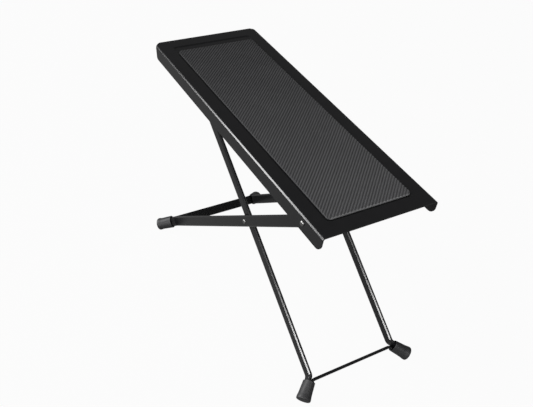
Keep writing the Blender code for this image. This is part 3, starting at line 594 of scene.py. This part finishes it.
def pull_round(spot, heading, turn, radius):
    """Pull the end face round a bend, and give its new spot and heading."""
    side = math.copysign(QUARTER_TURN, turn)
    centre = ahead(spot, heading + side, radius)
    for _ in range(BEND_STEPS):
        bpy.ops.mesh.extrude_region_move(TRANSFORM_OT_translate={"value": (0, 0, 0)})
        bpy.ops.transform.rotate(value=-turn / BEND_STEPS, orient_axis="Z", center_override=(*centre, 0))
    heading += turn
    return ahead(centre, heading - side, radius), heading


def neck_down(spot, share):
    """Make the end face lower by a share, about its own middle."""
    bpy.ops.transform.resize(value=(1, 1, share), center_override=(*spot, 0))


# %% [markdown]
# ## The flat bars
#
# Each leg frame has two flat bars. A bar has a half-round end, a long straight run, and a foot that is bent
# outwards and necked down to fit its rubber cap. Its flattened corners would make it look thinner than it
# measures across them, so its section is a little full. The near bar is modelled, and the far one is its
# mirror image. Each frame's foot is written down once: the bars' layer, the distance to the bend, the neck,
# and which way along X.

# %% Bar sizes
BAR_THICKNESS = 2.8 * MM
BAR_FULLNESS = 0.32 * MM
BAR_CHAMFER = 1.05 * MM
BAR_CHAMFER_ROUND = 0.2 * MM
ARM_WIDTH = 9.4 * MM
LEG_WIDTH = 8.8 * MM
TONGUE_WIDTH = 7 * MM
FOOT_SPLAY = math.radians(40.4)
ARM_BEND_RADIUS = 8 * MM
LEG_BEND_RADIUS = 4.5 * MM
ARM_REACH = 260.8 * MM
LEG_REACH = 135.3 * MM
ARM_NECK = 4.8 * MM
LEG_NECK = 4.3 * MM
TONGUE_LENGTH = 11.5 * MM
TONGUE_SHOWING = 0.8 * MM
SHOULDER = 1 * MM
ARM_SIDE_GAP = 4.3 * MM
LAYER_GAP = 1.3 * MM
END_STEPS = 8

arm_layer = PLATE_WIDTH / 2 - SHEET - ARM_SIDE_GAP - BAR_THICKNESS / 2
leg_layer = arm_layer - BAR_THICKNESS - LAYER_GAP
leg_rise = leg_line.length
outer_foot = (arm_layer, ARM_REACH, ARM_NECK, -1)
inner_foot = (leg_layer, LEG_REACH, LEG_NECK, 1)
print("layers", round(arm_layer / MM, 2), round(leg_layer / MM, 2), "leg rise", round(leg_rise / MM, 2))


# %% A flat bar with its splayed foot
def flat_bar(start, foot, width, radius):
    """The near bar, from its half-round end at start, along X towards its foot."""
    layer, reach, neck, toward = foot
    heading = 0 if toward > 0 else math.pi
    shares = [math.sin(QUARTER_TURN * k / END_STEPS) for k in range(1, END_STEPS + 1)]
    backs = [-width / 2 * math.cos(QUARTER_TURN * k / END_STEPS) for k in range(1, END_STEPS + 1)]
    spot = ahead((start, -layer), heading, backs[0])
    bar = start_section(BAR_THICKNESS + BAR_FULLNESS, width + BAR_FULLNESS, BAR_CHAMFER, spot, heading,
                        BAR_CHAMFER_ROUND)
    neck_down(spot, shares[0])
    for k in range(1, END_STEPS):
        spot = pull(spot, heading, backs[k] - backs[k - 1])
        neck_down(spot, shares[k] / shares[k - 1])
    setback = radius * math.tan(FOOT_SPLAY / 2)
    spot = pull(spot, heading, abs(toward * reach - start) - setback)
    spot, heading = pull_round(spot, heading, -toward * FOOT_SPLAY, radius)
    spot = pull(spot, heading, neck - setback - TONGUE_SHOWING - SHOULDER)
    spot = pull(spot, heading, SHOULDER)
    neck_down(spot, TONGUE_WIDTH / width)
    pull(spot, heading, TONGUE_SHOWING + TONGUE_LENGTH)
    return bar


arm = flat_bar(0, outer_foot, ARM_WIDTH, ARM_BEND_RADIUS)
lay_pieces(arm, powder_coat, [("arm_near", "outer_arm_near", outer_axes),
                              ("arm_far", "outer_arm_far", outer_axes @ MIRROR)])
leg = flat_bar(-leg_rise, inner_foot, LEG_WIDTH, LEG_BEND_RADIUS)
lay_pieces(leg, powder_coat, [("leg_near", "inner_leg_near", inner_axes),
                              ("leg_far", "inner_leg_far", inner_axes @ MIRROR)])

# %% [markdown]
# ## The strip and the tie rod
#
# A strip on edge joins the outer feet and a thin rod the inner ones. Their ends are bent so that they slip
# into the caps beside the bars. Both are the same pull: tip, bend, long run, bend, tip.

# %% Strip and tie rod
STRIP_WIDTH = 9 * MM
STRIP_THICKNESS = 2 * MM
STRIP_EDGE = 0.7 * MM
STRIP_BEND_RADIUS = 3 * MM
STRIP_OUTSET = 2.2 * MM
TIE_ROD_RADIUS = 1.3 * MM
TIE_ROD_BEND_RADIUS = 3.5 * MM
TIE_ROD_OUTSET = 1.6 * MM
TIE_ROD_GAP = 1.4 * MM
ROUND_SHARE = 0.98


def foot_point(foot, along, inward):
    """A point in the near foot, along the splayed bar and inward from its middle, and the heading there."""
    layer, reach, _, toward = foot
    heading = -toward * FOOT_SPLAY + (0 if toward > 0 else math.pi)
    x = toward * reach + along * math.cos(heading) + toward * inward * math.sin(FOOT_SPLAY)
    y = -layer + along * math.sin(heading) + inward * math.cos(FOOT_SPLAY)
    return (x, y), heading


def joining_member(foot, gap, outset, radius, section):
    """A strip or rod from one foot's cap across to the other."""
    _, _, neck, toward = foot
    thickness, width, corner, tongue = section
    inward = BAR_THICKNESS / 2 + gap + thickness / 2
    turn = -toward * (QUARTER_TURN - FOOT_SPLAY)
    setback = radius * math.tan(abs(turn) / 2)
    tip, heading = foot_point(foot, neck + TONGUE_LENGTH, inward)
    bend, _ = foot_point(foot, outset, inward)
    heading += math.pi
    member = start_section(thickness, width, corner, tip, heading)
    neck_down(tip, tongue / width)
    spot = pull(tip, heading, TONGUE_LENGTH + SEAT_GAP)
    spot = pull(spot, heading, 2 * SEAT_GAP)
    neck_down(spot, width / tongue)
    shown = math.dist(spot, bend) - setback
    if shown > SEAT_GAP:
        spot = pull(spot, heading, shown)
    spot, heading = pull_round(spot, heading, turn, radius)
    spot = pull(spot, heading, 2 * abs(bend[1]) - 2 * setback)
    spot, heading = pull_round(spot, heading, turn, radius)
    if shown > SEAT_GAP:
        spot = pull(spot, heading, shown)
    spot = pull(spot, heading, 2 * SEAT_GAP)
    neck_down(spot, tongue / width)
    pull(spot, heading, TONGUE_LENGTH + SEAT_GAP)
    return member


strip = joining_member(outer_foot, SEAT_GAP, STRIP_OUTSET, STRIP_BEND_RADIUS,
                       (STRIP_THICKNESS, STRIP_WIDTH, STRIP_EDGE, TONGUE_WIDTH))
lay_pieces(strip, powder_coat, [("foot_strip", "outer_cross_strip", outer_axes)])
tie_rod_width = 2 * TIE_ROD_RADIUS
tie_rod = joining_member(inner_foot, TIE_ROD_GAP, TIE_ROD_OUTSET, TIE_ROD_BEND_RADIUS,
                         (tie_rod_width, tie_rod_width, ROUND_SHARE * TIE_ROD_RADIUS, tie_rod_width))
lay_pieces(tie_rod, powder_coat, [("tie_rod", "bottom_tie_rod", inner_axes)])

# %% [markdown]
# ## Turned and moulded round pieces
#
# Caps, rivets, collars and the locking rod are round. Each starts as a circle, and every next ring is
# pulled from the last one and resized, which is what a lathe or a round mould leaves. A profile could be
# spun instead, but that leaves a seam and two poles to close.

# %% Helpers for round pieces
CAP_SIDES = 48
SMALL_SIDES = 32


def round_piece(rings, sides, closed=False):
    """Rings of (radius, height) about Z, from the first to the last, left in edit mode."""
    bpy.ops.object.select_all(action="DESELECT")
    radius, height = rings[0]
    fill = "NOTHING" if closed else "NGON"
    bpy.ops.mesh.primitive_circle_add(vertices=sides, radius=radius, fill_type=fill, location=(0, 0, height))
    piece = edit_new_piece()
    for next_radius, next_height in rings[1:] + (rings[:1] if closed else []):
        bpy.ops.mesh.extrude_region_move(TRANSFORM_OT_translate={"value": (0, 0, next_height - height)})
        bpy.ops.transform.resize(value=(next_radius / radius, next_radius / radius, 1),
                                 center_override=(0, 0, next_height))
        radius, height = next_radius, next_height
    return piece


def along_axis(location, axis):
    """Axes that lay a round piece's Z along a direction."""
    turn = Vector((0, 0, 1)).rotation_difference(Vector(axis))
    return Matrix.Translation(location) @ turn.to_matrix().to_4x4()


def both_sides(name, node, axes, near):
    """The near place and its mirror image, for a pair of pieces."""
    return [(name + "_near", node + "_near", axes @ near),
            (name + "_far", node + "_far", axes @ MIRROR @ near)]


# %% [markdown]
# ## Rubber feet
#
# Each foot is a moulded cap with a thicker lip at its closed end and a slightly crowned bottom. Its mouth
# is open, and the bar and the joining member both go in. The bar's width stretches the mouth to an oval,
# high but narrow. All four are from one mould, so one is modelled: its rings are first drawn round, and
# then the mouth is stretched in steps, most at its rim. The pair at the low end is turned a little further
# outwards than its bars.

# %% A cap's profile
CAP_LENGTH = 15.5 * MM
CAP_MOUTH_RADIUS = 5.3 * MM
CAP_END_RADIUS = 6 * MM
CAP_LIP_LENGTH = 3.2 * MM
CAP_CROWN = 0.6 * MM
CAP_BORE_RADIUS = 4.3 * MM
CAP_BORE_DEPTH = 12.5 * MM
CAP_ROUND = 1 * MM
CAP_ROUND_BACK = 0.81 * MM
MOUTH_ROUND = 0.35 * MM
CAP_CORNER_STEPS = 5
CROWN_SHARES = (0.85, 0.6, 0.35, 0.1)
TAPER_SHARES = (0.25, 0.5, 0.75)


def rounded_corner(radius, height, bend, start):
    """Ring sizes round a quarter of a turned profile, about its own centre."""
    angles = [start + QUARTER_TURN * k / CAP_CORNER_STEPS for k in range(CAP_CORNER_STEPS + 1)]
    return [(radius + bend * math.cos(angle), height + bend * math.sin(angle)) for angle in angles]


lip = CAP_LENGTH - CAP_LIP_LENGTH
cap_rings = [(CAP_BORE_RADIUS, CAP_BORE_DEPTH), (CAP_BORE_RADIUS, MOUTH_ROUND)]
cap_rings += rounded_corner(CAP_MOUTH_RADIUS - MOUTH_ROUND, MOUTH_ROUND, MOUTH_ROUND, -QUARTER_TURN)
lip_foot = CAP_MOUTH_RADIUS + (CAP_END_RADIUS - CAP_MOUTH_RADIUS) / 2
cap_rings += [(CAP_MOUTH_RADIUS + (lip_foot - CAP_MOUTH_RADIUS) * share, lip * share)
              for share in TAPER_SHARES]
cap_rings += [(lip_foot, lip - CAP_ROUND), ((lip_foot + CAP_END_RADIUS) / 2, lip),
              (CAP_END_RADIUS, lip + CAP_ROUND)]
cap_rings += rounded_corner(CAP_END_RADIUS - CAP_ROUND, CAP_LENGTH - CAP_ROUND_BACK, CAP_ROUND, 0)
rim_radius, rim_height = cap_rings[-1]
cap_rings += [(rim_radius * share, rim_height + (CAP_LENGTH + CAP_CROWN - rim_height) * (1 - share ** 2))
              for share in CROWN_SHARES]
cap = round_piece(cap_rings, CAP_SIDES)
print("cap rings", len(cap_rings))

# %% Stretch the mouth and push the caps on
MOUTH_HALF_HEIGHT = 6.05 * MM
MOUTH_HALF_BREADTH = 4.8 * MM
INNER_CAP_TURN = math.radians(3.5)
mouth_levels = [MOUTH_ROUND] + [lip * share for share in TAPER_SHARES]
outside = CAP_BORE_RADIUS + NEAR_ENOUGH
stretches = [(half / CAP_MOUTH_RADIUS) ** (1 / len(mouth_levels))
             for half in (MOUTH_HALF_HEIGHT, MOUTH_HALF_BREADTH)]
for level in mouth_levels:
    select_points(cap, lambda co: co.z < level + NEAR_ENOUGH and co.xy.length > outside)
    bpy.ops.transform.resize(value=(*stretches, 1), center_override=(0, 0, 0))


def cap_axes(spot, heading):
    """Axes in a foot: Z along the cap, and X across the width of the bar."""
    along = Vector((math.cos(heading), math.sin(heading), 0))
    across = Vector((0, 0, 1))
    turned = Matrix((across, along.cross(across), along)).transposed()
    return Matrix.Translation((*spot, 0)) @ turned.to_4x4()


cap_places = []
for stem, axes, foot, member, turn in (("outer_foot", outer_axes, outer_foot, STRIP_THICKNESS, 0),
                                       ("inner_foot", inner_axes, inner_foot, tie_rod_width, INNER_CAP_TURN)):
    _, _, neck, toward = foot
    spot, heading = foot_point(foot, neck, (SEAT_GAP + member) / 2)
    cap_places += both_sides("cap_" + stem, stem, axes, cap_axes(spot, heading - toward * turn))
lay_pieces(cap, foot_rubber, cap_places)

# %% [markdown]
# ## Rivets
#
# A rivet is set cold: its domed head stays outside, and its tail is pressed flat on the inner side. It
# could be joined from a dome and two cylinders, but rings from the tail to the head keep it one closed
# shell. The rivets of the pivots and of the crossings differ only in size, so one function gives both.

# %% Rivets
RIVET_RADIUS = 1.5 * MM
PIVOT_HEAD = (2.15 * MM, 1.1 * MM)
CROSSING_HEAD = (2.1 * MM, 1 * MM)
PIVOT_TAIL = (2.6 * MM, 0.6 * MM)
CROSSING_TAIL = (2.6 * MM, 0.9 * MM)
DOME_STEPS = 8
DOME_TIP_SHARE = 0.04


def rivet(head, grip, tail):
    """Rings of a rivet: its tail, its shank and its domed head."""
    rings = [(tail[0], -grip - tail[1]), (tail[0], -grip), (RIVET_RADIUS, -grip), (RIVET_RADIUS, 0)]
    for k in range(DOME_STEPS):
        angle = QUARTER_TURN * k / DOME_STEPS
        rings.append((head[0] * math.cos(angle), head[1] * math.sin(angle)))
    rings.append((head[0] * DOME_TIP_SHARE, head[1]))
    return rings


pivot_grip = SHEET + ARM_SIDE_GAP + BAR_THICKNESS + 2 * SEAT_GAP
crossing_grip = 2 * BAR_THICKNESS + LAYER_GAP + 2 * SEAT_GAP
crossing_x = -arm_line.length
near = along_axis((0, -PLATE_WIDTH / 2 - SEAT_GAP, 0), (0, -1, 0))
lay_pieces(round_piece(rivet(PIVOT_HEAD, pivot_grip, PIVOT_TAIL), SMALL_SIDES), rivet_steel,
           both_sides("flange_rivet", "pivot_rivet", platform_axes, near))
near = along_axis((crossing_x, -arm_layer - BAR_THICKNESS / 2 - SEAT_GAP, 0), (0, -1, 0))
lay_pieces(round_piece(rivet(CROSSING_HEAD, crossing_grip, CROSSING_TAIL), SMALL_SIDES), rivet_steel,
           both_sides("leg_rivet", "crossing_rivet", outer_axes, near))

# %% [markdown]
# ## Collars, washers and the locking rod
#
# These are seen only from below and from the side. They are plain turned pieces in zinc plate. A collar's
# hole could be cut with a boolean, but rings that end where they began leave it open from the start.

# %% Hidden round pieces
COLLAR_RADIUS = 4.2 * MM
WASHER_RADIUS = 4 * MM
LOCK_ROD_RADIUS = 2.25 * MM
TENON_RADIUS = 1.5 * MM
HOLE_RADIUS = 1.8 * MM
collar_width = ARM_SIDE_GAP - 2 * SEAT_GAP
washer_width = LAYER_GAP - 2 * SEAT_GAP


def collar(outer, width):
    """Rings round a plain collar's section."""
    return [(HOLE_RADIUS, 0), (outer, 0), (outer, width), (HOLE_RADIUS, width)]


near = along_axis((0, SHEET + SEAT_GAP + collar_width - PLATE_WIDTH / 2, 0), (0, -1, 0))
lay_pieces(round_piece(collar(COLLAR_RADIUS, collar_width), SMALL_SIDES, True), zinc_plate,
           both_sides("collar", "pivot_spacer", platform_axes, near))
near = along_axis((crossing_x, BAR_THICKNESS / 2 + SEAT_GAP + washer_width - arm_layer, 0), (0, -1, 0))
lay_pieces(round_piece(collar(WASHER_RADIUS, washer_width), SMALL_SIDES, True), zinc_plate,
           both_sides("washer", "crossing_washer", outer_axes, near))
shoulder = leg_layer - BAR_THICKNESS / 2 - SEAT_GAP
tip = leg_layer + BAR_THICKNESS / 2
rod_rings = [(TENON_RADIUS, -tip), (TENON_RADIUS, -shoulder), (LOCK_ROD_RADIUS, -shoulder),
             (LOCK_ROD_RADIUS, shoulder), (TENON_RADIUS, shoulder), (TENON_RADIUS, tip)]
lay_pieces(round_piece(rod_rings, SMALL_SIDES), zinc_plate,
           [("notch_rod", "locking_rod", inner_axes @ along_axis((-leg_rise, 0, 0), (0, 1, 0)))])

# %% [markdown]
# ## Pieces that keep their CAD shape
#
# The notched racks are already as the real ones are: cut from sheet, sharp and flat. Modelling them again
# would add nothing that shows, so they only get their finish.

# %% Finish the racks
for node in ("notch_rack_near", "notch_rack_far"):
    for slot in frame["nodes"][node].material_slots:
        slot.material = zinc_plate
    print(node, "keeps its shape")

# %% [markdown]
# ## Floor
#
# The photograph has a plain white ground with hardly a shadow, yet the black bars mirror only a dim one. So
# the floor is grey studio paper. Camera rays see it almost as plain white, with a trace of the shadow kept.
# Reflections see the paper itself, the shadow under the footrest too, with a little of the white.

# %% Paper floor
FLOOR_SIZE = 6
FLOOR_WHITE_SHARE = 0.96
FLOOR_MIRRORED_SHARE = 0.1
studio_paper, tree, shader = new_finish("grey studio paper", {
    "Base Color": colour("#626261"), "Roughness": 0.9})
rays = add_node(tree, "ShaderNodeLightPath")
mirrored = add_node(tree, "ShaderNodeMath", {"operation": "MAXIMUM"},
                    {0: rays.outputs["Is Glossy Ray"], 1: rays.outputs["Is Transmission Ray"]})
dimmed = add_node(tree, "ShaderNodeMath", {"operation": "MULTIPLY", 1: FLOOR_MIRRORED_SHARE},
                  {0: mirrored.outputs["Value"]})
share = add_node(tree, "ShaderNodeMath", {"operation": "MULTIPLY_ADD", 1: FLOOR_WHITE_SHARE},
                 {0: rays.outputs["Is Camera Ray"], 2: dimmed.outputs["Value"]})
plain = add_node(tree, "ShaderNodeEmission", {"Color": colour("#ffffff"), "Strength": 1})
blend = add_node(tree, "ShaderNodeMixShader", {}, {0: share.outputs["Value"], 1: shader.outputs["BSDF"],
                                                   2: plain.outputs["Emission"]})
tree.links.new(blend.outputs["Shader"], tree.nodes["Material Output"].inputs["Surface"])

bpy.ops.object.select_all(action="DESELECT")
bpy.ops.mesh.primitive_plane_add(size=FLOOR_SIZE, location=(0, 0, 0))
floor = bpy.context.object
floor.name = "floor"
floor.data.materials.append(studio_paper)
print("floor", FLOOR_SIZE, "m square")

# %% [markdown]
# ## Light
#
# A lamp on black gloss is drawn by its mirror image, so each one stands where its streak has to fall. A
# tall strip at the left front runs along the near fold. A small strip at the front lies along the legs'
# chamfers, near the feet. A box on the right models the rubber caps, and a wide dim one fills from above.
# The air is white to the camera alone. It gives off little light, which keeps the black sheet black.


# %% Lamps
def soft_lamp(name, size, power, target, direction, distance, along):
    """A rectangular lamp that faces its target from a distance, with its long side along a direction."""
    lamp = bpy.data.lights.new(name, "AREA")
    lamp.shape = "RECTANGLE"
    lamp.size, lamp.size_y = size
    lamp.energy = power
    holder = bpy.data.objects.new(name, lamp)
    bpy.context.scene.collection.objects.link(holder)
    away = Vector(direction).normalized()
    holder.location = Vector(target) + away * distance
    side = Vector(along).cross(away).normalized()
    holder.rotation_euler = Matrix((side, away.cross(side), away)).transposed().to_euler()
    print("lamp", name, power, "W")


soft_lamp("left strip", size=(0.6, 2.4), power=150, target=(0, -0.05, 0.17),
          direction=(-0.59, -0.68, 0.43), distance=3, along=(0.104, 0.502, 0.859))
soft_lamp("front strip", size=(0.2, 0.6), power=27, target=(0.115, 0, 0.024),
          direction=(0.355, -0.867, 0.34), distance=2, along=(0.54, 0.5, 0.68))
soft_lamp("right softbox", size=(0.9, 0.9), power=12, target=(0.1, 0, 0.05),
          direction=(0.82, -0.08, 0.56), distance=1.5, along=(0, 0, 1))
soft_lamp("overhead fill", size=(1.2, 1.2), power=7, target=(0.05, 0, 0.1),
          direction=(0.3, -0.5, 0.8), distance=1.5, along=(0, 1, 0))

# %% Studio air
AIR_LIGHT = 0.1
AIR_MIRRORED = 0.05
AIR_WHITE = 0.86
world = bpy.data.worlds.new("studio air")
bpy.context.scene.world = world
world.use_nodes = True
tree = world.node_tree
air = tree.nodes["Background"]
air.inputs["Color"].default_value = colour("#ffffff")
rays = add_node(tree, "ShaderNodeLightPath")
mirrored = add_node(tree, "ShaderNodeMath", {"operation": "MAXIMUM"},
                    {0: rays.outputs["Is Glossy Ray"], 1: rays.outputs["Is Transmission Ray"]})
dim = add_node(tree, "ShaderNodeMath", {"operation": "MULTIPLY_ADD", 1: AIR_MIRRORED, 2: AIR_LIGHT},
               {0: mirrored.outputs["Value"]})
strength = add_node(tree, "ShaderNodeMath", {"operation": "MULTIPLY_ADD", 1: AIR_WHITE},
                    {0: rays.outputs["Is Camera Ray"], 2: dim.outputs["Value"]})
tree.links.new(strength.outputs["Value"], air.inputs["Strength"])
print("air", world.name)

# %% [markdown]
# ## Camera
#
# The place and the turn come from a fit of the footrest's own edges to the photograph. A camera can be
# placed by eye, but a fit weighs every edge at once. It looks down, so the floor fills the frame. The lens
# is shifted by half a pixel, because the fit counts from the middle of the first pixel and Blender from its
# edge.

# %% Camera
CAMERA_PLACE = (0.43747, -0.30849, 0.46111)
CAMERA_TURN = (55.1973, -4.119, 58.6531)
IMAGE_WIDTH = 533
FOCAL_PIXELS = 735.12
SENSOR = 36
HALF_PIXEL = 0.5 / IMAGE_WIDTH
view = bpy.data.cameras.new("photo view")
view.sensor_width = SENSOR
view.lens = FOCAL_PIXELS / IMAGE_WIDTH * SENSOR
view.shift_x = -HALF_PIXEL
view.shift_y = HALF_PIXEL
camera = bpy.data.objects.new("photo view", view)
camera.location = CAMERA_PLACE
camera.rotation_euler = [math.radians(angle) for angle in CAMERA_TURN]
bpy.context.scene.collection.objects.link(camera)
bpy.context.scene.camera = camera
bpy.context.scene.view_settings.view_transform = "Standard"
print("lens", round(view.lens, 2), "mm")
